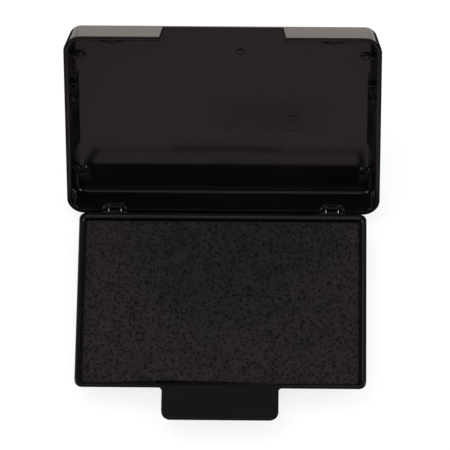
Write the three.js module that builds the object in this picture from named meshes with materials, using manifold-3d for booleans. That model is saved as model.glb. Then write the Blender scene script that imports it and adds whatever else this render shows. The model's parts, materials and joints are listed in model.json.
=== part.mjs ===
// A hinged ink pad: a shallow tray with a pull tab holds an inked felt, and a cover flips over it.
// Millimetres, +Z up, +X to the right and +Y to the back. The origin is the middle of the tray's base.
// The cover stands fully open, with its back edge just clear of the table.
import * as THREE from "three";
import { mergeVertices } from "three/addons/utils/BufferGeometryUtils.js";
import Module from "manifold-3d";

const wasm = await Module();
wasm.setup();

// Driving dimensions: the felt, and the plastic around it.
const felt = { width: 64, depth: 41.6, thickness: 1.4, radius: 1 };
const rim = { side: 1.6, front: 0.7, rear: 2, gap: 0.2 };
const tray = { height: 7.5, floor: 1.2, lipHeight: 1.3, edge: 0.35, radius: 1.7, panRadius: 4, taper: 3.2 };
const tab = { width: 27.1, length: 8.2, thickness: 1.2, corner: 2.1, root: 0.8 };
const core = { width: 58.6, depth: 34.6, radius: 2 };
const adhesiveThickness = 0.2;
const stackGap = 0.05;

const cover = { width: 73.8, depth: 49.3, cavity: 6.2, wall: 1.15, floor: 1.2, radius: 4.1, draft: 1.05 };
const notch = { rimWidth: 29.4, floorWidth: 28 };
const catches = { length: 5.6, bulge: 0.7, height: 1.2, fromRim: 0.6 };
const posts = { x: 33.2, y: 16.1, radius: 1, clearance: 0.2 };
const postWeb = { thickness: 1.4, height: 2.4, clearance: 0.3 };
const sideRib = { length: 17, clearance: 0.4, fromRim: 1 };

// The hinge: two stations, each one tray lug between two cover knuckles on its own pin.
// The front catches stand opposite the stations, and each lug's slot opens into a shallow half-moon pocket.
const hinge = { offset: 25.7, knuckle: 2, lug: 2.4, gap: 0.3, radius: 1, pinRadius: 0.45, boreRadius: 0.54 };
const pocket = { width: 5.8, height: 2.6, depth: 0.5 };
const openAngle = THREE.MathUtils.degToRad(119);
const axisHeight = 2.35;
const rimBelowAxis = 0.3;
const wallAheadOfAxis = 0.15;
const rearClearance = 0.2;

// Worked out from the dimensions above.
const trayWidth = felt.width + 2 * (rim.gap + rim.side);
const trayDepth = felt.depth + 2 * rim.gap + rim.front + rim.rear;
const feltCentreY = (rim.front - rim.rear) / 2;
const ledgeHeight = tray.height - felt.thickness - 0.15;
const draftSlope = cover.draft / cover.cavity;
const draftAtTrayTop = draftSlope * (tray.height - axisHeight + rimBelowAxis);
const axisY = trayDepth / 2 + rearClearance + draftAtTrayTop + cover.wall + wallAheadOfAxis;
const coverHeight = cover.cavity + cover.floor;
const coverCentreY = -wallAheadOfAxis - cover.depth / 2;

// A three.js geometry as a manifold-3d solid, and back.
function toSolid(geometry) {
  const bare = geometry.clone();
  bare.deleteAttribute("normal");
  bare.deleteAttribute("uv");
  const merged = mergeVertices(bare, 1e-4);
  return new wasm.Manifold(
    new wasm.Mesh({
      numProp: 3,
      vertProperties: new Float32Array(merged.attributes.position.array),
      triVerts: new Uint32Array(merged.index.array),
    }),
  );
}

function toGeometry(solid) {
  const made = solid.getMesh();
  const geometry = new THREE.BufferGeometry();
  geometry.setAttribute("position", new THREE.BufferAttribute(made.vertProperties, 3));
  geometry.setIndex(new THREE.BufferAttribute(made.triVerts, 1));
  geometry.computeVertexNormals();
  return geometry;
}

function join(geometries) {
  return geometries.map(toSolid).reduce((sum, solid) => sum.add(solid));
}

function cut(solid, geometries) {
  return geometries.map(toSolid).reduce((left, tool) => left.subtract(tool), solid);
}

// A rounded rectangle centred on the origin.
function roundedRectangle(width, depth, radius) {
  const x = width / 2 - radius;
  const y = depth / 2 - radius;
  const quarter = Math.PI / 2;
  const outline = new THREE.Shape();
  outline.moveTo(-x, -y - radius);
  outline.absarc(x, -y, radius, -quarter, 0);
  outline.absarc(x, y, radius, 0, quarter);
  outline.absarc(-x, y, radius, quarter, 2 * quarter);
  outline.absarc(-x, -y, radius, 2 * quarter, 3 * quarter);
  return outline;
}

// An outline raised from one height to another, with rounded top and bottom edges where edge is given.
function slab(outline, bottom, top, edge = 0) {
  const geometry = new THREE.ExtrudeGeometry(outline, {
    depth: top - bottom - 2 * edge,
    bevelEnabled: edge > 0,
    bevelThickness: edge,
    bevelSize: edge,
    bevelOffset: -edge,
    bevelSegments: 3,
    curveSegments: 8,
  });
  return geometry.translate(0, 0, bottom + edge);
}

// A block that narrows evenly upward: its wide face is the outline, at z = 0.
function taperedBlock(outline, height, inset) {
  const straight = 1;
  const doubled = new THREE.ExtrudeGeometry(outline, {
    depth: straight,
    bevelThickness: height,
    bevelSize: inset,
    bevelOffset: -inset,
    bevelSegments: 1,
    curveSegments: 8,
  }).translate(0, 0, -straight);
  const reach = 200;
  const keep = new THREE.BoxGeometry(reach, reach, height).translate(0, 0, height / 2);
  return toGeometry(toSolid(doubled).intersect(toSolid(keep)));
}

function box(width, depth, height, x, y, z) {
  return new THREE.BoxGeometry(width, depth, height).translate(x, y, z);
}

// A round bar along X.
function barAlongX(radius, length, x, y, z) {
  return new THREE.CylinderGeometry(radius, radius, length, 32).rotateZ(Math.PI / 2).translate(x, y, z);
}

// The tab's outline: rounded front corners, and small concave fillets where it leaves the tray.
function tabOutline() {
  const half = tab.width / 2;
  const root = -trayDepth / 2;
  const front = root - tab.length;
  const overlap = 0.5;
  const outline = new THREE.Shape();
  outline.moveTo(-half - tab.root, root + overlap);
  outline.lineTo(-half - tab.root, root);
  outline.absarc(-half - tab.root, root - tab.root, tab.root, Math.PI / 2, 0, true);
  outline.absarc(-half + tab.corner, front + tab.corner, tab.corner, Math.PI, 1.5 * Math.PI);
  outline.absarc(half - tab.corner, front + tab.corner, tab.corner, 1.5 * Math.PI, 2 * Math.PI);
  outline.absarc(half + tab.root, root - tab.root, tab.root, Math.PI, Math.PI / 2, true);
  outline.lineTo(half + tab.root, root + overlap);
  return outline;
}

const stations = [-hinge.offset, hinge.offset];

// The places of the cover's knuckles, either side of the lug in each station.
const knucklePlaces = stations.flatMap((x) => {
  const step = (hinge.knuckle + hinge.lug) / 2 + hinge.gap;
  return [x - step, x + step];
});

function trayShell() {
  const lipBottom = tray.height - tray.lipHeight;
  const lip = slab(roundedRectangle(trayWidth, trayDepth, tray.radius), lipBottom, tray.height, tray.edge);
  const panTop = roundedRectangle(trayWidth - 2 * tray.edge, trayDepth - 2 * tray.edge, tray.panRadius);
  const panHeight = lipBottom + tray.edge;
  const pan = taperedBlock(panTop, panHeight, tray.taper).rotateX(Math.PI).translate(0, 0, panHeight);
  const pullTab = slab(tabOutline(), tray.height - tab.thickness, tray.height, tray.edge / 2);

  const armStart = trayDepth / 2 - tray.taper;
  const armLength = axisY - armStart;
  const armCentreY = axisY - armLength / 2;
  const lugs = stations.flatMap((x) => [
    box(hinge.lug, armLength, 2 * hinge.radius, x, armCentreY, axisHeight),
    barAlongX(hinge.radius, hinge.lug, x, axisY, axisHeight),
  ]);

  const feltSeat = roundedRectangle(felt.width + 2 * rim.gap, felt.depth + 2 * rim.gap, felt.radius);
  const well = roundedRectangle(core.width + 2 * rim.gap, core.depth + 2 * rim.gap, core.radius);
  const above = tray.height + 1;
  const hollows = [
    slab(feltSeat, ledgeHeight, above).translate(0, feltCentreY, 0),
    slab(well, tray.floor, above).translate(0, feltCentreY, 0),
  ];
  const bores = stations.map((x) => barAlongX(hinge.boreRadius, 2 * hinge.lug, x, axisY, axisHeight));
  return toGeometry(cut(join([lip, pan, pullTab, ...lugs]), [...hollows, ...bores]));
}

function feltPad() {
  const outline = roundedRectangle(felt.width, felt.depth, felt.radius);
  const bottom = ledgeHeight + stackGap;
  return slab(outline, bottom, bottom + felt.thickness, 0.2).translate(0, feltCentreY, 0);
}

function inkCore() {
  const outline = roundedRectangle(core.width, core.depth, core.radius);
  const bottom = tray.floor + adhesiveThickness + 2 * stackGap;
  return slab(outline, bottom, ledgeHeight - stackGap).translate(0, feltCentreY, 0);
}

function adhesiveSheet() {
  const margin = 1;
  const outline = roundedRectangle(core.width - 2 * margin, core.depth - 2 * margin, core.radius);
  const bottom = tray.floor + stackGap;
  return slab(outline, bottom, bottom + adhesiveThickness).translate(0, feltCentreY, 0);
}

function hingePin() {
  const length = hinge.lug + 2 * (hinge.knuckle + hinge.gap) - 0.2;
  return barAlongX(hinge.pinRadius, length, 0, 0, 0);
}

// The catches: half lenses on the inside of the front wall, near the rim.
function frontCatches() {
  const innerHalf = cover.depth / 2 - cover.wall - draftSlope * catches.fromRim;
  return stations.map((x) =>
    new THREE.SphereGeometry(1, 24, 12)
      .scale(catches.length / 2, catches.bulge, catches.height / 2)
      .translate(x, coverCentreY - innerHalf, catches.fromRim - rimBelowAxis),
  );
}

// Tools for the half-moon pockets: elliptical discs centred on the rear wall's inner rim edge and tilted with it.
function hingePockets() {
  const innerRimY = coverCentreY + cover.depth / 2 - cover.wall;
  const reach = 4;
  return stations.map((x) =>
    new THREE.CylinderGeometry(1, 1, reach, 48)
      .scale(pocket.width / 2, 1, pocket.height)
      .translate(0, pocket.depth - reach / 2, 0)
      .rotateX(Math.atan(draftSlope))
      .translate(x, innerRimY, -rimBelowAxis),
  );
}

// Short posts on the cover's floor: they land on the tray's side rims and keep the floor off the felt.
function coverPosts(floorZ) {
  const overlap = 0.2;
  const landing = tray.height - axisHeight + posts.clearance;
  const length = floorZ - landing + overlap;
  return [-1, 1].flatMap((side) =>
    [-1, 1].map((end) =>
      new THREE.CylinderGeometry(posts.radius, posts.radius, length, 24)
        .rotateX(Math.PI / 2)
        .translate(side * posts.x, coverCentreY + end * posts.y, floorZ + overlap - length / 2),
    ),
  );
}

// A web joins each post to the side wall next to it; it hangs lower than the post, clear of the tray's side.
function postWebs(floorZ) {
  const overlap = 0.2;
  const inner = trayWidth / 2 + postWeb.clearance;
  const length = cover.width / 2 - draftSlope * coverHeight - 0.05 - inner;
  return [-1, 1].flatMap((side) =>
    [-1, 1].map((end) =>
      box(
        length,
        postWeb.thickness,
        postWeb.height,
        side * (inner + length / 2),
        coverCentreY + end * posts.y,
        floorZ + overlap - postWeb.height / 2,
      ),
    ),
  );
}

// Ribs on the cover's side walls centre it on the tray.
function sideRibs(floorZ) {
  const inner = trayWidth / 2 + sideRib.clearance;
  const thickness = cover.width / 2 - draftSlope * coverHeight - 0.05 - inner;
  const bottom = sideRib.fromRim - rimBelowAxis;
  const height = floorZ - bottom + 0.2;
  return [-1, 1].map((side) =>
    box(thickness, sideRib.length, height, side * (inner + thickness / 2), coverCentreY, bottom + height / 2),
  );
}

// The cover is drawn closed, with its local origin on the hinge axis.
function coverShell() {
  const rimZ = -rimBelowAxis;
  const floorZ = rimZ + cover.cavity;
  const place = (geometry, z) => geometry.translate(0, coverCentreY, z);
  const outside = roundedRectangle(cover.width, cover.depth, cover.radius);
  const body = place(taperedBlock(outside, coverHeight, draftSlope * coverHeight), rimZ);

  const below = 0.5;
  const grow = 2 * draftSlope * below;
  const hollowWidth = cover.width - 2 * cover.wall + grow;
  const hollowDepth = cover.depth - 2 * cover.wall + grow;
  const hollowOutline = roundedRectangle(hollowWidth, hollowDepth, cover.radius - cover.wall);
  const hollowHeight = cover.cavity + below;
  const hollow = place(taperedBlock(hollowOutline, hollowHeight, draftSlope * hollowHeight), rimZ - below);

  const notchSides = new THREE.Shape();
  const flare = (notch.rimWidth - notch.floorWidth) / (2 * cover.cavity);
  notchSides.moveTo(-notch.rimWidth / 2 - flare * below, -below);
  notchSides.lineTo(notch.rimWidth / 2 + flare * below, -below);
  notchSides.lineTo(notch.floorWidth / 2, cover.cavity);
  notchSides.lineTo(-notch.floorWidth / 2, cover.cavity);
  const notchDepth = 4 * cover.wall;
  const frontY = coverCentreY - cover.depth / 2;
  const opening = new THREE.ExtrudeGeometry(notchSides, { depth: notchDepth, bevelEnabled: false })
    .rotateX(Math.PI / 2)
    .translate(0, frontY + 0.75 * notchDepth, rimZ);

  const slotTop = hinge.radius + hinge.gap + 0.05;
  const slotHeight = slotTop - rimZ + below;
  const slots = stations.map((x) =>
    box(hinge.lug + 2 * hinge.gap, 5 * cover.wall, slotHeight, x, 0, slotTop - slotHeight / 2),
  );
  const knuckles = knucklePlaces.map((x) => barAlongX(hinge.radius, hinge.knuckle, x, 0, 0));
  const bores = stations.map((x) => barAlongX(hinge.boreRadius, 4 * hinge.knuckle, x, 0, 0));

  const shell = cut(toSolid(body), [hollow, opening]);
  const details = [...frontCatches(), ...coverPosts(floorZ), ...postWebs(floorZ), ...sideRibs(floorZ)];
  const fittings = join([...details, ...knuckles]);
  return toGeometry(cut(shell.add(fittings), [...hingePockets(), ...slots, ...bores]));
}

const blackPlastic = { color: 0x1c1a1a, roughness: 0.28, metalness: 0 };
const inkedFelt = { color: 0x241f1e, roughness: 0.95, metalness: 0 };
const inkedFoam = { color: 0x151314, roughness: 0.9, metalness: 0 };
const adhesive = { color: 0xc8bfa6, roughness: 0.6, metalness: 0 };
const steel = { color: 0xb8babd, roughness: 0.3, metalness: 1 };

function part(name, geometry, material) {
  const mesh = new THREE.Mesh(geometry, new THREE.MeshStandardMaterial(material));
  mesh.name = name;
  return mesh;
}

const base = new THREE.Group();
base.add(
  part("tray_shell", trayShell(), blackPlastic),
  part("felt_pad", feltPad(), inkedFelt),
  part("ink_core", inkCore(), inkedFoam),
  part("adhesive_sheet", adhesiveSheet(), adhesive),
);
for (const [name, side] of [
  ["hinge_pin_left", -1],
  ["hinge_pin_right", 1],
]) {
  const pin = part(name, hingePin(), steel);
  pin.position.set(side * hinge.offset, axisY, axisHeight);
  base.add(pin);
}

const flip = new THREE.Group();
flip.position.set(0, axisY, axisHeight);
flip.rotation.x = -openAngle;
flip.add(part("cover_shell", coverShell(), blackPlastic));

const inkPad = new THREE.Group();
inkPad.add(base, flip);

export default inkPad;
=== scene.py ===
"""A hinged black ink pad, opened: a tray with a pull tab holds an inked felt, and a cover flips over it.

Shapes are drawn in millimetres: the tray in the frame's own axes, and the cover closed, with its origin on
the hinge axis, before it is swung open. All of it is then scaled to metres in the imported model's frame.
"""
import json
import math

import bmesh
import bpy
from mathutils import Matrix, Vector, noise


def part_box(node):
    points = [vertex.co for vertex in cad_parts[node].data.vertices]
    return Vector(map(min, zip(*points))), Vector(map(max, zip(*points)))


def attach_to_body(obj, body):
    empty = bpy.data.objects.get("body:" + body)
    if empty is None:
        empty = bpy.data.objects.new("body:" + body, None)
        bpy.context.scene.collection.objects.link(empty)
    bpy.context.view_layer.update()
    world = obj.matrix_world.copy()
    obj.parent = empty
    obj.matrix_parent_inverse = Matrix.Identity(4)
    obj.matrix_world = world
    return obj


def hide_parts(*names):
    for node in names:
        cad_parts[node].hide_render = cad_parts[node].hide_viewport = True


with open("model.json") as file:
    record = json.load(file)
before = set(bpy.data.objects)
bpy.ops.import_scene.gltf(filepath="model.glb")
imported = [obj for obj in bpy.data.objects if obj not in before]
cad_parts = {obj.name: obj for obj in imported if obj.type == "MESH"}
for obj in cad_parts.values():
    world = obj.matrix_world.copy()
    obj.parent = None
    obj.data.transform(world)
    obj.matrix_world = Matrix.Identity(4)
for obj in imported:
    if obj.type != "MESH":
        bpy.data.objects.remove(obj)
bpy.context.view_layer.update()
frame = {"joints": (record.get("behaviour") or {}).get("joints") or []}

MM = 0.001

# How finely curves are drawn, and how the plastic's sharp edges are rounded, in millimetres.
CORNER_STEPS = 12
FILLET_STEPS = 4
SHARP_ANGLE = math.radians(38)
EDGE = 0.12
# Where the flat ends of a lofted shell begin, measured in from its outline.
CAP_INSET = 9

# The hinge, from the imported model.
JOINT = frame["joints"][0]
HINGE_AT = Vector(JOINT["pos_m"]) / MM
OPEN_ANGLE = math.radians(JOINT["range_deg"][1])
TRAY_TO_FRAME = Matrix.Scale(MM, 4)
COVER_TO_FRAME = TRAY_TO_FRAME @ Matrix.Translation(HINGE_AT) @ Matrix.Rotation(-OPEN_ANGLE, 4, "X")

# The felt and the tray around it, in millimetres.
FELT_LOW, FELT_HIGH = (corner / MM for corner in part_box("felt_pad"))
FELT_SIZE = FELT_HIGH - FELT_LOW
FELT_CENTRE_Y = (FELT_LOW.y + FELT_HIGH.y) / 2
FELT_CORNER = 1.0
# The felt's face swells a little past its packed outline, closest to the lip at the front.
FELT_FACE_WIDTH = FELT_SIZE.x + 0.4
FELT_FACE_DEPTH = FELT_SIZE.y + 0.7
FELT_FACE_CENTRE_Y = FELT_CENTRE_Y + 0.1
TRAY_HEIGHT = 7.5
TRAY_WIDTH = FELT_SIZE.x + 3.6
TRAY_DEPTH = FELT_SIZE.y + 3.1
TRAY_FLOOR = 1.2
LIP_HEIGHT = 1.3
LIP_CORNER = 1.7
LIP_ROUNDING = 0.28
PAN_TAPER = 3.2
SEAT_GAP = 0.6
WELL_INSET = 3.2
TAB_WIDTH = 27.1
TAB_LENGTH = 8.2
TAB_THICKNESS = 1.2
TAB_CORNER = 2.1
TAB_ROOT = 0.8

# The cover, in millimetres, closed, measured from the hinge axis.
COVER_WIDTH = 73.8
COVER_DEPTH = 49.3
COVER_CORNER = 4.1
CAVITY = 6.2
WALL = 1.15
DRAFT = 1.05
RIM_Z = -0.3
FLOOR_Z = RIM_Z + CAVITY
TOP_Z = FLOOR_Z + 1.2
COVER_CENTRE_Y = -0.15 - COVER_DEPTH / 2
DRAFT_SLOPE = DRAFT / CAVITY
RIM_ROUNDING = 0.22
# Ribs and webs are rooted at this height inside the cover's floor and this far out inside its side walls.
ROOT_Z = FLOOR_Z + 0.2
ROOT_X = COVER_WIDTH / 2 - DRAFT_SLOPE * (TOP_Z - RIM_Z) - 0.05
NOTCH_RIM_WIDTH = 29.4
NOTCH_FLOOR_WIDTH = 28.0

# The hinge stations and the cover's posts, in millimetres.
STATIONS = (-25.7, 25.7)
KNUCKLE = 1.4
LUG = 2.8
SLOT = 3.0
BARREL_RADIUS = 1.0
BORE_RADIUS = 0.54
PIN_RADIUS = 0.45
POST_X = 33.2
POST_Y = 16.1


# ---------------------------------------------------------------------------------------------- mesh tools

def rounded(corners):
    """A profile of (inset, z, radius) corners as (inset, z) points, with an arc at each radius."""
    points = []
    for index, (inset, z, radius) in enumerate(corners):
        here = Vector((inset, z))
        if not radius:
            points.append(here)
            continue
        before = (Vector(corners[index - 1][:2]) - here).normalized()
        after = (Vector(corners[index + 1][:2]) - here).normalized()
        half = before.angle(after) / 2
        centre = here + (before + after).normalized() * radius / math.sin(half)
        start = here + before * radius / math.tan(half) - centre
        end = here + after * radius / math.tan(half) - centre
        turn = start.angle_signed(end)
        for step in range(FILLET_STEPS + 1):
            spoke = start.copy()
            spoke.rotate(Matrix.Rotation(-turn * step / FILLET_STEPS, 2))
            points.append(centre + spoke)
    return points


def ring(outline, inset, z):
    """Points at one height round a rounded rectangle (width, depth, corner, centre y), drawn inset."""
    width, depth, corner, centre_y = outline
    radius = max(corner - inset, 0.3)
    half_x = width / 2 - inset - radius
    half_y = depth / 2 - inset - radius
    points = []
    for quarter, (side_x, side_y) in enumerate(((1, -1), (1, 1), (-1, 1), (-1, -1))):
        for step in range(CORNER_STEPS + 1):
            angle = (quarter - 1 + step / CORNER_STEPS) * math.pi / 2
            x = side_x * half_x + radius * math.cos(angle)
            y = side_y * half_y + radius * math.sin(angle) + centre_y
            points.append(Vector((x, y, z)))
    return points


def bead(outer, inner, low, high, steps=8):
    """Rings over a rounded lip: half an ellipse across from one outline to the other."""
    rings = []
    for step in range(steps + 1):
        turn = math.pi * step / steps
        across = (1 - math.cos(turn)) / 2
        z = low + (high - low) * math.sin(turn)
        pairs = zip(ring(outer, 0, z), ring(inner, 0, z))
        rings.append([start.lerp(end, across) for start, end in pairs])
    return rings


def circle(radius, z, steps=32):
    return [Vector((radius * math.cos(a), radius * math.sin(a), z))
            for a in (2 * math.pi * step / steps for step in range(steps))]


def loft(rings):
    """A closed bmesh through rings of equally many points, capped at its first and last ring."""
    bm = bmesh.new()
    loops = [[bm.verts.new(point) for point in points] for points in rings]
    for lower, upper in zip(loops, loops[1:]):
        for index in range(len(lower)):
            after = (index + 1) % len(lower)
            bm.faces.new((lower[index], lower[after], upper[after], upper[index]))
    bm.faces.new(loops[0])
    bm.faces.new(loops[-1])
    bmesh.ops.recalc_face_normals(bm, faces=bm.faces)
    return bm


def tube(rings):
    """A closed bmesh through rings of equally many points; the last ring repeats the first."""
    bm = bmesh.new()
    loops = [[bm.verts.new(point) for point in points] for points in rings[:-1]]
    for lower, upper in zip(loops, loops[1:] + loops[:1]):
        for index in range(len(lower)):
            after = (index + 1) % len(lower)
            bm.faces.new((lower[index], lower[after], upper[after], upper[index]))
    bmesh.ops.recalc_face_normals(bm, faces=bm.faces)
    return bm


def prism(outline, low, high):
    """A straight block: an outline of (x, y) points raised from one height to another."""
    return loft([[Vector((x, y, z)) for x, y in outline] for z in (low, high)])


def moved(bm, matrix):
    bm.transform(matrix)
    return bm


def block(size, centre, edge=0):
    bm = bmesh.new()
    bmesh.ops.create_cube(bm, size=1)
    bm.transform(Matrix.Translation(centre) @ Matrix.Diagonal((*size, 1)))
    if edge:
        bmesh.ops.bevel(bm, geom=bm.edges[:], offset=edge, segments=2, profile=0.5, affect="EDGES")
    return bm


def round_ended(radius, length):
    """Rings of an upright bar with rounded ends, in steps too shallow to count as sharp edges."""
    half = length / 2
    turns = [math.pi / 6 * step for step in range(4)]
    arc = [(EDGE * (1 - math.sin(turn)), EDGE * (1 - math.cos(turn))) for turn in turns]
    rings = [circle(radius - inset, -half + drop) for inset, drop in arc]
    return rings + [circle(radius - inset, half - drop) for inset, drop in reversed(arc)]


def along_x(bm, centre):
    """Lays an upright bar down along X."""
    return moved(bm, Matrix.Translation(centre) @ Matrix.Rotation(math.pi / 2, 4, "Y"))


def barrel(radius, length, centre):
    """A round bar along X with rounded ends."""
    return along_x(loft(round_ended(radius, length)), centre)


def sleeve(radius, bore, length, centre):
    """A short pipe along X with rounded outer ends."""
    start = circle(bore, -length / 2)
    end = circle(bore, length / 2)
    return along_x(tube([start, *round_ended(radius, length), end, start]), centre)


def new_object(name, bm):
    mesh = bpy.data.meshes.new(name)
    bm.to_mesh(mesh)
    bm.free()
    piece = bpy.data.objects.new(name, mesh)
    bpy.context.scene.collection.objects.link(piece)
    return piece


def settle(piece):
    """Keeps the mesh that a piece's modifiers make."""
    evaluated = piece.evaluated_get(bpy.context.evaluated_depsgraph_get())
    mesh = bpy.data.meshes.new_from_object(evaluated)
    piece.modifiers.clear()
    piece.data = mesh


def combine(piece, operation, solids):
    """Joins or cuts a piece with solids, one after another, and keeps the resulting mesh."""
    tools = [new_object("tool", solid) for solid in solids]
    for tool in tools:
        modifier = piece.modifiers.new("combine", "BOOLEAN")
        modifier.operation = operation
        modifier.solver = "EXACT"
        modifier.object = tool
    settle(piece)
    for tool in tools:
        bpy.data.objects.remove(tool)


def attach(piece, solids):
    """Adds solids to a piece as they are, without cutting them where they overlap it."""
    whole = bmesh.new()
    whole.from_mesh(piece.data)
    for solid in solids:
        part = bpy.data.meshes.new("part")
        solid.to_mesh(part)
        solid.free()
        whole.from_mesh(part)
        bpy.data.meshes.remove(part)
    whole.to_mesh(piece.data)
    whole.free()


def split_small_faces(piece, largest=40):
    """Splits the small many-sided faces into triangles, so that rounding cannot fold them over a slot."""
    bm = bmesh.new()
    bm.from_mesh(piece.data)
    small = [face for face in bm.faces if len(face.verts) > 4 and face.calc_area() < largest]
    bmesh.ops.triangulate(bm, faces=small)
    bm.to_mesh(piece.data)
    bm.free()


def round_edges(piece):
    """Rounds the edges of a piece that are still sharp."""
    rounding = piece.modifiers.new("rounded_edges", "BEVEL")
    rounding.width = EDGE
    rounding.segments = 2
    rounding.limit_method = "ANGLE"
    rounding.angle_limit = SHARP_ANGLE
    rounding.use_clamp_overlap = False
    rounding.miter_outer = "MITER_ARC"
    settle(piece)


def finish_plastic(piece, to_frame):
    """Scales a moulded piece into the frame and shades it smooth, with its flats kept flat."""
    piece.data.transform(to_frame)
    for face in piece.data.polygons:
        face.use_smooth = True
    normals = piece.modifiers.new("flat_faces", "WEIGHTED_NORMAL")
    normals.mode = "FACE_AREA"
    normals.weight = 100


# --------------------------------------------------------------------------------------------- tray and tab

def tab_outline():
    """Half of the tab goes round its front corner and the small concave root; the other half mirrors it."""
    half = TAB_WIDTH / 2
    root_y = -TRAY_DEPTH / 2
    front_y = root_y - TAB_LENGTH
    points = [(0, front_y)]
    for step in range(CORNER_STEPS + 1):
        angle = (step / CORNER_STEPS - 1) * math.pi / 2
        corner_x = half - TAB_CORNER + TAB_CORNER * math.cos(angle)
        points.append((corner_x, front_y + TAB_CORNER + TAB_CORNER * math.sin(angle)))
    for step in range(CORNER_STEPS * 2 // 3 + 1):
        angle = math.pi - step / CORNER_STEPS * math.pi / 2
        root_x = half + TAB_ROOT + TAB_ROOT * math.cos(angle)
        points.append((root_x, root_y - TAB_ROOT + TAB_ROOT * math.sin(angle)))
    points.append((half + TAB_ROOT * 0.8, root_y + 0.4))
    return points + [(-x, y) for x, y in reversed(points[1:])]


def tray_body():
    outer = (TRAY_WIDTH, TRAY_DEPTH + 0.1, LIP_CORNER, 0.05)
    pan = (TRAY_WIDTH, TRAY_DEPTH, 4.5, 0)
    seat_width = FELT_FACE_WIDTH + 2 * SEAT_GAP
    seat = (seat_width, FELT_FACE_DEPTH + 0.55, FELT_CORNER + 0.2, FELT_FACE_CENTRE_Y + 0.225)
    lip_z = TRAY_HEIGHT - LIP_HEIGHT
    ledge_z = FELT_LOW.z - 0.05
    pan_profile = rounded([(CAP_INSET, 0, 0), (PAN_TAPER + 0.35, 0, 0.6),
                           (0.6, lip_z, 0.3), (0.3, lip_z, 0)])
    lip_profile = rounded([(0.3, lip_z, 0), (0, lip_z, 0.2), (0, TRAY_HEIGHT, 0)])
    seat_profile = rounded([(0, TRAY_HEIGHT, 0), (0, ledge_z, 0), (WELL_INSET, ledge_z, 0.2),
                            (WELL_INSET, TRAY_FLOOR, 0.5), (CAP_INSET, TRAY_FLOOR, 0)])
    rings = [ring(pan, inset, z) for inset, z in pan_profile[:-1]]
    rings += [ring(outer, inset, z) for inset, z in lip_profile[1:-1]]
    rings += bead(outer, seat, TRAY_HEIGHT - LIP_ROUNDING, TRAY_HEIGHT)
    rings += [ring(seat, inset, z) for inset, z in seat_profile[1:]]
    return loft(rings)


def tray():
    piece = new_object("tray", tray_body())
    arm_start = TRAY_DEPTH / 2 - PAN_TAPER
    arm_length = HINGE_AT.y - arm_start
    tab = prism(tab_outline(), TRAY_HEIGHT - TAB_THICKNESS, TRAY_HEIGHT)
    # The arms are a little lower than the barrels, so that the two meet along a clean line.
    arm_size = (LUG, arm_length, 1.96 * BARREL_RADIUS)
    arm_centre_y = HINGE_AT.y - arm_length / 2
    arms = [block(arm_size, Vector((x, arm_centre_y, HINGE_AT.z)), EDGE) for x in STATIONS]
    barrels = [barrel(BARREL_RADIUS, LUG, Vector((x, HINGE_AT.y, HINGE_AT.z))) for x in STATIONS]
    bores = [barrel(BORE_RADIUS, 2 * LUG, Vector((x, HINGE_AT.y, HINGE_AT.z))) for x in STATIONS]
    combine(piece, "UNION", [tab])
    round_edges(piece)
    combine(piece, "UNION", [*arms, *barrels])
    combine(piece, "DIFFERENCE", bores)
    finish_plastic(piece, TRAY_TO_FRAME)
    return piece


# --------------------------------------------------------------------------------------------------- cover

def cover_body():
    outside = (COVER_WIDTH, COVER_DEPTH, COVER_CORNER, COVER_CENTRE_Y)
    inside = (COVER_WIDTH - 2 * WALL, COVER_DEPTH - 2 * WALL, COVER_CORNER - WALL, COVER_CENTRE_Y)
    top_inset = DRAFT_SLOPE * (TOP_Z - RIM_Z)
    shoulder = rounded([(CAP_INSET, TOP_Z, 0), (top_inset, TOP_Z, 0.9), (0, RIM_Z, 0)])
    hollow = rounded([(0, RIM_Z, 0), (DRAFT, FLOOR_Z, 0.7), (CAP_INSET, FLOOR_Z, 0)])
    rings = [ring(outside, inset, z) for inset, z in shoulder[:-1]]
    rings += bead(outside, inside, RIM_Z + RIM_ROUNDING, RIM_Z)
    rings += [ring(inside, inset, z) for inset, z in hollow[1:]]
    return loft(rings)


def notch_cutter():
    """The opening that lets the pull tab out of the closed cover: a flared slot through the front wall."""
    below = 0.5
    depth = 3.4
    flare = (NOTCH_RIM_WIDTH - NOTCH_FLOOR_WIDTH) / (2 * CAVITY)
    rim_half = NOTCH_RIM_WIDTH / 2 + flare * below
    floor_half = NOTCH_FLOOR_WIDTH / 2
    front_y = COVER_CENTRE_Y - COVER_DEPTH / 2
    sides = [(-rim_half, RIM_Z - below), (rim_half, RIM_Z - below),
             (floor_half, FLOOR_Z), (-floor_half, FLOOR_Z)]
    return loft([[Vector((x, y, z)) for x, z in sides] for y in (front_y - 1, front_y + depth)])


def front_catch(x):
    """A half lens on the inside of the front wall, near the rim."""
    length, bulge, height = 5.6, 0.7, 1.2
    from_rim = 0.6
    inner_y = COVER_CENTRE_Y - (COVER_DEPTH / 2 - WALL - DRAFT_SLOPE * from_rim)
    bm = bmesh.new()
    bmesh.ops.create_uvsphere(bm, u_segments=32, v_segments=16, radius=1)
    size = Matrix.Diagonal((length / 2, bulge, height / 2, 1))
    return moved(bm, Matrix.Translation((x, inner_y, RIM_Z + from_rim)) @ size)


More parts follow.
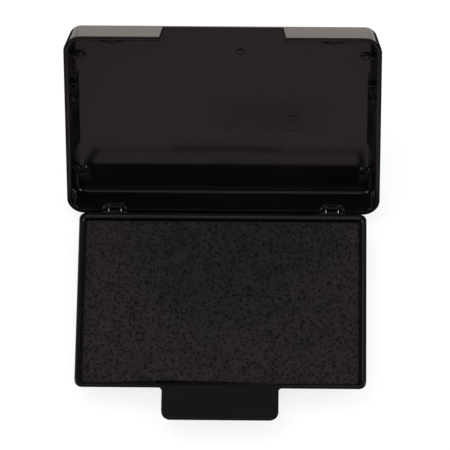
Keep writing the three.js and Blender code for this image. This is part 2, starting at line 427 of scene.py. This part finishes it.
def hinge_pockets():
    """Cutters for the half-moon scoops round the lug slots: flush at the top, deepest at the rim."""
    half_width = 2.9
    height = 2.6
    reach = 4
    tilt = math.radians(22)
    slope = math.atan(DRAFT_SLOPE) + tilt
    top = Vector((0, COVER_CENTRE_Y + COVER_DEPTH / 2 - WALL - DRAFT_SLOPE * height, RIM_Z + height))
    turns = [2 * math.pi * step / 64 for step in range(64)]
    cutters = []
    for x in STATIONS:
        discs = [[Vector((half_width * math.cos(turn), y, height * (math.sin(turn) - 1))) for turn in turns]
                 for y in (-reach, 0)]
        tilted = Matrix.Translation(top + Vector((x, 0, 0))) @ Matrix.Rotation(slope, 4, "X")
        cutters.append(moved(loft(discs), tilted))
    return cutters


def cover_posts():
    """Four round posts on the cover's floor, with a small flare at the root and a rounded tip."""
    tip_z = TRAY_HEIGHT - HINGE_AT.z + 0.2
    profile = [(0.75, tip_z), (0.93, tip_z + 0.06), (1.0, tip_z + 0.2), (1.0, FLOOR_Z - 0.2),
               (1.07, FLOOR_Z - 0.06), (1.25, FLOOR_Z), (1.25, FLOOR_Z + 0.3)]
    return [moved(loft([circle(radius, z) for radius, z in profile]),
                  Matrix.Translation((x, COVER_CENTRE_Y + y, 0)))
            for x in (-POST_X, POST_X) for y in (-POST_Y, POST_Y)]


def post_webs():
    """A web joins each post to the side wall; it hangs lower than the post, clear of the tray's side."""
    thickness, height = 1.4, 1.4
    inner = TRAY_WIDTH / 2 + 0.3
    size = (ROOT_X - inner, thickness, height)
    centre_x = (inner + ROOT_X) / 2
    centre_z = ROOT_Z - height / 2
    return [block(size, Vector((side * centre_x, COVER_CENTRE_Y + y, centre_z)))
            for side in (-1, 1) for y in (-POST_Y, POST_Y)]


def both_sides(section, start, end):
    """A section of (x, z) points run along Y beside the cover's middle, on each side of it."""
    return [loft([[Vector((side * x, COVER_CENTRE_Y + y, z)) for x, z in section] for y in (start, end)])
            for side in (-1, 1)]


def side_ribs():
    """A leaning rib on each side wall, with a lower step at its front end."""
    root = TRAY_WIDTH / 2
    tip = COVER_WIDTH / 2 - WALL - 0.1
    tip_z = RIM_Z + 0.9
    step_z = RIM_Z + 3.2
    step_x = root + (tip - root) * (FLOOR_Z - step_z) / (FLOOR_Z - tip_z)
    foot = [(ROOT_X, ROOT_Z), (root, ROOT_Z), (root, FLOOR_Z)]
    half_length = 8.5
    step_y = -3.7
    tall = both_sides([*foot, (tip, tip_z), (tip + 0.5, tip_z)], step_y, half_length)
    low = both_sides([*foot, (step_x, step_z), (ROOT_X, step_z)], -half_length, step_y + 0.1)
    return [tall[0], low[0], tall[1], low[1]]


def cross_ribs():
    """Two thin ribs with rounded tops run across the front of each leaning rib."""
    half = 0.3
    top_z = FLOOR_Z - 3
    inner = TRAY_WIDTH / 2 + 0.1
    arc = [(-half * math.cos(turn), top_z + half - half * math.sin(turn))
           for turn in (math.pi * step / 6 for step in range(7))]
    section = [(-half, ROOT_Z), *arc, (half, ROOT_Z)]
    ribs = []
    for side in (-1, 1):
        for y in (COVER_CENTRE_Y - 9.4, COVER_CENTRE_Y - 5.1):
            ends = [[Vector((side * x, y + across, z)) for across, z in section]
                    for x in (inner, ROOT_X)]
            ribs.append(loft(ends))
    return ribs


def floor_ridge(radius, height, x, y):
    """A faint raised ring on the cover's floor, with sides too shallow to count as sharp edges."""
    profile = [(-0.3, 0), (-0.15, 0.5), (0, 1), (0.15, 0.5), (0.3, 0)]
    rings = [circle(radius + reach, FLOOR_Z - rise * height, 72) for reach, rise in profile]
    rings = [circle(radius - 0.3, FLOOR_Z + 0.3, 72), *rings, circle(radius + 0.3, FLOOR_Z + 0.3, 72)]
    rings.append(rings[0])
    return moved(tube(rings), Matrix.Translation((x, y, 0)))


def floor_dot(radius, height, x, y):
    """A low domed dot on the cover's floor."""
    bm = bmesh.new()
    bmesh.ops.create_uvsphere(bm, u_segments=24, v_segments=24, radius=1)
    return moved(bm, Matrix.Translation((x, y, FLOOR_Z)) @ Matrix.Diagonal((radius, radius, height, 1)))


def floor_marks():
    """What the mould leaves on the cover's floor."""
    mark = (16.2, COVER_CENTRE_Y + 1.6)
    ejector = floor_ridge(4.35, 0.012, 0, COVER_CENTRE_Y)
    mark_ring = floor_ridge(3.4, 0.014, *mark)
    mark_dot = floor_dot(1.1, 0.035, *mark)
    gate_stub = floor_dot(0.9, 0.05, 4.0, -41.8)
    return [ejector, mark_ring, mark_dot, gate_stub]


def cover():
    piece = new_object("cover", cover_body())
    slot_top = BARREL_RADIUS + 0.12
    slot_height = slot_top - RIM_Z + 0.5
    slot_centre_z = slot_top - slot_height / 2
    slots = [block((SLOT, 5 * WALL, slot_height), Vector((x, 0, slot_centre_z))) for x in STATIONS]
    knuckle_step = (KNUCKLE + SLOT) / 2 + 0.02
    knuckles = [sleeve(BARREL_RADIUS, BORE_RADIUS, KNUCKLE, Vector((x + side * knuckle_step, 0, 0)))
                for x in STATIONS for side in (-1, 1)]
    # The wall is cleared for the pins; the knuckles cover the opening.
    socket_length = 2 * knuckle_step + KNUCKLE - 0.1
    sockets = [barrel(0.85 * BARREL_RADIUS, socket_length, Vector((x, 0, 0))) for x in STATIONS]
    catches = [front_catch(x) for x in STATIONS]
    combine(piece, "DIFFERENCE", [notch_cutter(), *hinge_pockets()])
    combine(piece, "UNION", [*catches, *cover_posts(), *post_webs(),
                             *side_ribs(), *cross_ribs(), *floor_marks()])
    combine(piece, "DIFFERENCE", [*slots, *sockets])
    split_small_faces(piece)
    round_edges(piece)
    attach(piece, knuckles)
    finish_plastic(piece, COVER_TO_FRAME)
    return piece


# ------------------------------------------------------------------------------------------ felt and inside

def corner_rounded(x, y, half_x, half_y, corner):
    """A point of a rectangular grid, drawn in so that the four corners of the grid come out rounded."""
    over_x = max(0.0, abs(x) - (half_x - corner)) / corner
    over_y = max(0.0, abs(y) - (half_y - corner)) / corner
    if over_x and over_y:
        round_x = over_x * math.sqrt(1 - over_y ** 2 / 2)
        round_y = over_y * math.sqrt(1 - over_x ** 2 / 2)
        x = math.copysign(half_x - corner * (1 - round_x), x)
        y = math.copysign(half_y - corner * (1 - round_y), y)
    return x, y


def soft_sheet(name, low, high, step, corner, edge_radius, recess, crown, relief):
    """A soft slab between two corners: rounded corners and edges, a shallow crown and an uneven face."""
    half_x = (high.x - low.x) / 2 - 0.05
    half_y = (high.y - low.y) / 2 - 0.05
    centre_y = (low.y + high.y) / 2
    columns = round(half_x * 2 / step)
    rows = round(half_y * 2 / step)
    bm = bmesh.new()
    grid = []
    for row in range(rows + 1):
        line = []
        for column in range(columns + 1):
            flat_x = (column / columns * 2 - 1) * half_x
            flat_y = (row / rows * 2 - 1) * half_y
            x, y = corner_rounded(flat_x, flat_y, half_x, half_y, corner)
            over = max(0.0, edge_radius - min(half_x - abs(flat_x), half_y - abs(flat_y)))
            drop = edge_radius - math.sqrt(max(0.0, edge_radius ** 2 - over ** 2))
            swell = crown * (1 - (x / half_x) ** 2) * (1 - (y / half_y) ** 2)
            ragged = 1 + 0.015 * relief * noise.noise(Vector((x * 0.7, y * 0.7, 11)))
            z = high.z - recess + swell - drop + relief * unevenness(x, y)
            line.append(bm.verts.new((x * ragged, y * ragged + centre_y, z)))
        grid.append(line)
    for lower, upper in zip(grid, grid[1:]):
        for column in range(columns):
            bm.faces.new((lower[column], lower[column + 1], upper[column + 1], upper[column]))
    border = [edge for edge in bm.edges if edge.is_boundary]
    skirt = bmesh.ops.extrude_edge_only(bm, edges=border)["geom"]
    for vertex in (item for item in skirt if isinstance(item, bmesh.types.BMVert)):
        vertex.co.z = low.z
    bmesh.ops.holes_fill(bm, edges=[edge for edge in bm.edges if edge.is_boundary])
    bmesh.ops.recalc_face_normals(bm, faces=bm.faces)
    piece = new_object(name, bm)
    piece.data.transform(TRAY_TO_FRAME)
    for face in piece.data.polygons:
        face.use_smooth = True
    return piece


def unevenness(x, y):
    """Relief from about -1 to 1: broad waves, lumps, and short fibres."""
    broad = 0.4 * noise.noise(Vector((x * 0.25, y * 0.25, 0)))
    lumps = 0.35 * noise.noise(Vector((x * 1.1 + 7, y * 1.1, 0)))
    fibres = 0.3 * noise.noise(Vector((x * 1.6, y * 2.6, 3)))
    return broad + lumps + fibres


def felt():
    half = Vector((FELT_FACE_WIDTH / 2, FELT_FACE_DEPTH / 2, 0))
    low = Vector((0, FELT_FACE_CENTRE_Y, FELT_LOW.z)) - half
    high = Vector((0, FELT_FACE_CENTRE_Y, FELT_HIGH.z)) + half
    return soft_sheet("felt", low, high, step=0.25, corner=FELT_CORNER, edge_radius=0.4,
                      recess=0.38, crown=0.22, relief=0.1)


def foam_core():
    low, high = (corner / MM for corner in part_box("ink_core"))
    return soft_sheet("foam_core", low, high, step=0.6, corner=2.0, edge_radius=0.4,
                      recess=0.06, crown=0.0, relief=0.05)


def adhesive_sheet():
    low, high = (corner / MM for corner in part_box("adhesive_sheet"))
    return soft_sheet("adhesive_film", low, high, step=1.0, corner=2.0, edge_radius=0.05,
                      recess=0.02, crown=0.0, relief=0.015)


def hinge_pin(node):
    """A short steel pin with rounded ends, lying along X, that stops inside the outer knuckles."""
    end_gap = 0.3
    length = SLOT + 2 * (KNUCKLE - end_gap)
    low, high = (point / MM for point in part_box(node))
    piece = new_object("steel_" + node, barrel(PIN_RADIUS, length, (low + high) / 2))
    finish_plastic(piece, TRAY_TO_FRAME)
    return piece


# ----------------------------------------------------------------------------------------------- materials

class Shader:
    """A node material with a Principled surface, and short calls to add and join nodes."""

    def __init__(self, name):
        self.material = bpy.data.materials.new(name)
        self.material.use_nodes = True
        self.tree = self.material.node_tree
        self.surface = self.tree.nodes["Principled BSDF"]
        self.place = self.add("ShaderNodeTexCoord").outputs["Object"]

    def add(self, kind, inputs=None, **settings):
        node = self.tree.nodes.new(kind)
        for name, value in settings.items():
            setattr(node, name, value)
        for name, value in (inputs or {}).items():
            self.put(node.inputs[name], value)
        return node

    def put(self, socket, value):
        if isinstance(value, bpy.types.NodeSocket):
            self.tree.links.new(value, socket)
        else:
            socket.default_value = value

    def noise(self, size_mm, detail=3.0, roughness=0.55, place=None):
        """Noise from 0 to 1 whose features are about size_mm across."""
        return self.add("ShaderNodeTexNoise", {
            "Vector": place or self.place, "Scale": 1 / (size_mm * MM), "Detail": detail,
            "Roughness": roughness}).outputs["Fac"]

    def ramp(self, value, low, high, to_low=0.0, to_high=1.0):
        return self.add("ShaderNodeMapRange", {
            "Value": value, "From Min": low, "From Max": high,
            "To Min": to_low, "To Max": to_high}).outputs["Result"]

    def calculate(self, operation, first, second=0.0):
        return self.add("ShaderNodeMath", {0: first, 1: second}, operation=operation).outputs["Value"]

    def vector(self, operation, first, second, output="Vector"):
        node = self.add("ShaderNodeVectorMath", {0: first, 1: second}, operation=operation)
        return node.outputs[output]

    def blend(self, share, first, second):
        node = self.add("ShaderNodeMix", data_type="RGBA")
        self.put(node.inputs[0], share)
        self.put(node.inputs[6], first)
        self.put(node.inputs[7], second)
        return node.outputs[2]

    def bump(self, height, depth_mm, under=None):
        node = self.add("ShaderNodeBump", {"Height": height, "Distance": depth_mm * MM, "Strength": 1.0})
        if under is not None:
            self.put(node.inputs["Normal"], under)
        return node.outputs["Normal"]


def grey(red, green=None, blue=None):
    return (red, green if green is not None else red, blue if blue is not None else red, 1)


def black_plastic(name, tint, polish, smudges=()):
    """Moulded black plastic: glossy, very slightly wavy, with faint flow streaks, haze and inky smudges.

    Each smudge is its middle, its three half sizes in metres, and its strength.
    """
    s = Shader(name)
    clear = None
    for middle, half_sizes, strength in smudges:
        away = s.vector("SUBTRACT", s.place, middle)
        scaled = s.vector("DIVIDE", away, half_sizes)
        reach = s.vector("LENGTH", scaled, (0, 0, 0), output="Value")
        uneven = s.calculate("ADD", reach, s.ramp(s.noise(5, detail=4), 0.3, 0.7, -0.3, 0.3))
        shade = s.ramp(uneven, 0.3, 1.2, 1 - strength, 1.0)
        clear = s.calculate("MULTIPLY", clear, shade) if clear else shade
    if clear:
        s.put(s.surface.inputs["Specular Tint"], s.blend(clear, grey(0, 0.06, 0.05), grey(1)))
    stretched = s.add("ShaderNodeMapping", {"Vector": s.place, "Scale": (0.35, 1, 1)}).outputs["Vector"]
    streaks = s.noise(6, detail=5, place=stretched)
    haze = s.noise(1.2, detail=6, roughness=0.65)
    lighter = grey(*(channel * 1.5 for channel in tint[:3]))
    s.put(s.surface.inputs["Base Color"], s.blend(s.ramp(streaks, 0.35, 0.7), tint, lighter))
    s.put(s.surface.inputs["Roughness"], s.ramp(haze, 0.3, 0.75, polish, polish + 0.04))
    s.put(s.surface.inputs["IOR"], 1.5)
    waves = s.bump(s.noise(9, detail=2), 0.012)
    s.put(s.surface.inputs["Normal"], s.bump(s.noise(0.5, detail=4), 0.0006, under=waves))
    return s.material


def inked_felt():
    """Felt soaked with black ink: matt, neutral to brown, with dark specks and short fibres.

    Its pale sheen at grazing angles is a painted sheen in its base colour, seen in full only in
    reflections.
    """
    s = Shader("inked_felt")
    neutral_middle = (0.003, 0.012, 0.007)
    away = s.vector("DISTANCE", s.place, neutral_middle, output="Value")
    cloud = s.ramp(s.noise(9, detail=4), 0.3, 0.7, -0.012, 0.012)
    reach = s.calculate("ADD", away, cloud)
    brown = s.ramp(reach, 0.012, 0.028)
    colour = s.blend(brown, grey(0.0030, 0.0030, 0.0030), grey(0.0048, 0.0034, 0.0035))
    mottle = s.ramp(s.noise(1.3, detail=6, roughness=0.85), 0.3, 0.7, 0.4, 1.75)
    cells = s.add("ShaderNodeTexVoronoi", {"Vector": s.place, "Scale": 1 / (0.8 * MM)}).outputs["Distance"]
    ragged = s.calculate("ADD", cells, s.ramp(s.noise(0.5, detail=3), 0.3, 0.7, -0.25, 0.25))
    specks = s.ramp(ragged, 0.22, 0.45, 0.2, 1.05)
    shade = s.calculate("MULTIPLY", mottle, specks)
    tone = s.vector("MULTIPLY", colour, shade)
    # Painted sheen: the base colour turns pale grey at grazing angles, in full for reflected rays and
    # faintly to the camera.
    facing = s.add("ShaderNodeLayerWeight", {"Blend": 0.5}).outputs["Facing"]
    grazing = s.calculate("POWER", facing, 8.0)
    mirrored = s.add("ShaderNodeLightPath").outputs["Is Glossy Ray"]
    painted_sheen = s.calculate("MULTIPLY", grazing, s.ramp(mirrored, 0, 1, 0.15, 1))
    s.put(s.surface.inputs["Base Color"], s.blend(painted_sheen, tone, grey(0.27, 0.21, 0.215)))
    s.put(s.surface.inputs["Roughness"], 0.95)
    s.put(s.surface.inputs["Specular IOR Level"], 0.1)
    s.put(s.surface.inputs["Normal"], s.bump(s.noise(0.3, detail=6, roughness=0.75), 0.06))
    return s.material


def brushed_steel():
    s = Shader("pin_steel")
    along = s.add("ShaderNodeMapping", {"Vector": s.place, "Scale": (0.1, 1, 1)}).outputs["Vector"]
    lines = s.noise(0.08, detail=3, place=along)
    s.put(s.surface.inputs["Metallic"], 1.0)
    s.put(s.surface.inputs["Base Color"], s.blend(lines, grey(0.10, 0.10, 0.105), grey(0.17, 0.17, 0.175)))
    s.put(s.surface.inputs["Roughness"], s.ramp(lines, 0.3, 0.7, 0.25, 0.4))
    return s.material


def open_foam():
    s = Shader("inked_foam")
    cells = s.add("ShaderNodeTexVoronoi", {"Vector": s.place, "Scale": 1 / (0.6 * MM)}).outputs["Distance"]
    inky = s.blend(s.ramp(cells, 0.1, 0.6), grey(0.002), grey(0.010, 0.008, 0.009))
    s.put(s.surface.inputs["Base Color"], inky)
    s.put(s.surface.inputs["Roughness"], 0.8)
    s.put(s.surface.inputs["Normal"], s.bump(cells, 0.2))
    return s.material


def adhesive_film():
    s = Shader("adhesive_film")
    cloud = s.noise(3, detail=4)
    s.put(s.surface.inputs["Base Color"], s.blend(cloud, grey(0.52, 0.48, 0.36), grey(0.62, 0.57, 0.45)))
    s.put(s.surface.inputs["Roughness"], s.ramp(cloud, 0.3, 0.7, 0.35, 0.6))
    return s.material


def dress(piece, material):
    piece.data.materials.clear()
    piece.data.materials.append(material)


# ------------------------------------------------------------------------------------------- build the pad

plastic = black_plastic("black_plastic", grey(0.0009, 0.0008, 0.0008), 0.16)
cover_plastic = black_plastic("cover_plastic", grey(0.0009, 0.0008, 0.0008), 0.07, smudges=(
    (COVER_TO_FRAME @ Vector((12, COVER_CENTRE_Y + 0.5, FLOOR_Z)), (0.013, 0.006, 0.006), 0.28),
    (COVER_TO_FRAME @ Vector((1, COVER_CENTRE_Y, FLOOR_Z)), (0.006, 0.005, 0.005), 0.12),
))

steel = brushed_steel()


def place(piece, material, body, node, slot):
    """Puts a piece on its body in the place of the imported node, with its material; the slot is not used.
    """
    dress(piece, material)
    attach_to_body(piece, body)
    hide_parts(node)


place(tray(), plastic, "base", "tray_shell", "black_plastic")
place(cover(), cover_plastic, "cover", "cover_shell", "cover_plastic")
place(felt(), inked_felt(), "base", "felt_pad", "inked_felt")
place(foam_core(), open_foam(), "base", "ink_core", "inked_foam")
place(adhesive_sheet(), adhesive_film(), "base", "adhesive_sheet", "adhesive")
for pin_node in ("hinge_pin_left", "hinge_pin_right"):
    place(hinge_pin(pin_node), steel, "base", pin_node, "pin_steel")


# ------------------------------------------------------------------------------------- camera, light, floor

def camera():
    """The main view: from the front and well above, a little to the right, from over a metre away."""
    azimuth = math.radians(2.26)
    elevation = math.radians(63.38)
    roll = math.radians(-1.59)
    distance = 1.120
    focal_length_mm = 381.632
    aim_right = 0.000709
    aim_up = 0.020616
    towards = Vector((math.sin(azimuth) * math.cos(elevation), -math.cos(azimuth) * math.cos(elevation),
                      math.sin(elevation)))
    level_right = Vector((0, 0, 1)).cross(towards).normalized()
    level_up = towards.cross(level_right)
    right = level_right * math.cos(roll) + level_up * math.sin(roll)
    up = level_up * math.cos(roll) - level_right * math.sin(roll)
    data = bpy.data.cameras.new("camera")
    data.sensor_width = 36
    data.lens = focal_length_mm
    data.clip_start = 0.05
    data.clip_end = 30
    eye = bpy.data.objects.new("camera", data)
    bpy.context.scene.collection.objects.link(eye)
    pose = Matrix((right, up, towards)).transposed().to_4x4()
    pose.translation = towards * distance + right * aim_right + up * aim_up
    eye.matrix_world = pose
    bpy.context.scene.camera = eye


def floor():
    """A white table that gives some of its own light, so that the pad's shadow on it stays soft and pale.

    Polished plastic sees a studio surface in its place: dim in front, bright behind, darker beside the pad
    and dark further off, with painted shade in a strip under and around the pad.
    """
    bm = bmesh.new()
    bmesh.ops.create_grid(bm, x_segments=1, y_segments=1, size=6)
    ground = new_object("floor", bm)
    s = Shader("floor")
    s.put(s.surface.inputs["Base Color"], grey(0.076))
    s.put(s.surface.inputs["Roughness"], 1.0)
    s.put(s.surface.inputs["Specular IOR Level"], 0.0)
    s.put(s.surface.inputs["Emission Color"], grey(1))
    s.put(s.surface.inputs["Emission Strength"], 0.80)
    position = s.add("ShaderNodeNewGeometry").outputs["Position"]
    axes = s.add("ShaderNodeSeparateXYZ", {"Vector": position}).outputs
    behind = s.add("ShaderNodeMapRange", {"Value": axes["Y"], "From Min": -0.03, "From Max": 0.06},
                   interpolation_type="SMOOTHSTEP").outputs["Result"]
    studio = s.blend(behind, grey(0.485, 0.365, 0.38), grey(1.37, 1.23, 1.14))
    aside = s.calculate("ABSOLUTE", axes["X"])
    table = s.blend(s.ramp(aside, 0.055, 0.085), studio, grey(0.20, 0.16, 0.16))
    # Painted shade: in a strip along a line under the cover's foot, reaching to the front and the back, the
    # table that polished plastic sees is dark, where shade falls under and around the pad.
    off_line = s.calculate("ABSOLUTE", s.calculate("SUBTRACT", axes["Y"], 0.032))
    painted_shade_table = s.blend(s.ramp(off_line, 0.070, 0.078), grey(0.02), table)
    mirrored = s.add("ShaderNodeEmission", {"Color": painted_shade_table})
    mixed = s.add("ShaderNodeMixShader", {"Fac": s.add("ShaderNodeLightPath").outputs["Is Glossy Ray"]})
    s.put(mixed.inputs[1], s.surface.outputs["BSDF"])
    s.put(mixed.inputs[2], mirrored.outputs["Emission"])
    s.put(s.tree.nodes["Material Output"].inputs["Surface"], mixed.outputs["Shader"])
    dress(ground, s.material)


# The soft windows that polished plastic sees. Each has a direction, the cosines of the angles where it has
# faded out and where it is full, and a strength.
WINDOWS = (
    ((-0.75, 0.35, 0.56), 0.89, 0.975, 0.75),
    ((-0.10, -0.70, 0.70), 0.80, 0.96, 0.3),
    ((0.0, 0.22, 0.98), 0.985, 0.996, 0.35),
    ((0.0, 0.10, 0.99), 0.994, 0.998, 0.9),
    ((0.85, 0.02, 0.52), 0.95, 0.985, 5.0),
    ((-0.85, 0.02, 0.52), 0.95, 0.985, 3.0),
)
SKY_MATT = 3.0
SKY_POLISHED = 0.05


def window(tree, direction, towards, edge, full, strength):
    """The light of one soft window in a direction of the sky."""
    facing = tree.nodes.new("ShaderNodeVectorMath")
    facing.operation = "DOT_PRODUCT"
    facing.inputs[1].default_value = Vector(towards).normalized()
    tree.links.new(direction, facing.inputs[0])
    glow = tree.nodes.new("ShaderNodeMapRange")
    glow.interpolation_type = "SMOOTHSTEP"
    glow.inputs["From Min"].default_value = edge
    glow.inputs["From Max"].default_value = full
    glow.inputs["To Max"].default_value = strength
    tree.links.new(facing.outputs["Value"], glow.inputs["Value"])
    return glow.outputs["Result"]


def sky():
    """Even white light for matt surfaces; polished surfaces see a dim studio with soft windows."""
    world = bpy.data.worlds.new("studio")
    bpy.context.scene.world = world
    world.use_nodes = True
    tree = world.node_tree
    direction = tree.nodes.new("ShaderNodeTexCoord").outputs["Generated"]
    dim = tree.nodes.new("ShaderNodeValue")
    dim.outputs[0].default_value = SKY_POLISHED
    total = dim.outputs[0]
    for towards, edge, full, strength in WINDOWS:
        add = tree.nodes.new("ShaderNodeMath")
        tree.links.new(window(tree, direction, towards, edge, full, strength), add.inputs[0])
        tree.links.new(total, add.inputs[1])
        total = add.outputs["Value"]
    choose = tree.nodes.new("ShaderNodeMix")
    tree.links.new(tree.nodes.new("ShaderNodeLightPath").outputs["Is Glossy Ray"], choose.inputs[0])
    choose.inputs[2].default_value = SKY_MATT
    tree.links.new(total, choose.inputs[3])
    background = tree.nodes["Background"]
    background.inputs["Color"].default_value = (1, 1, 1, 1)
    tree.links.new(choose.outputs[0], background.inputs["Strength"])


def key_light():
    """One large soft lamp, above and behind to the left, that polished surfaces do not mirror."""
    data = bpy.data.lights.new("key", "AREA")
    data.energy = 8
    data.shape = "DISK"
    data.size = 0.7
    lamp = bpy.data.objects.new("key", data)
    bpy.context.scene.collection.objects.link(lamp)
    lamp.location = (-0.35, 0.3, 1.1)
    lamp.rotation_euler = (-lamp.location).to_track_quat("-Z", "Y").to_euler()
    lamp.visible_glossy = False


camera()
floor()
sky()
key_light()
bpy.context.scene.view_settings.view_transform = "Standard"
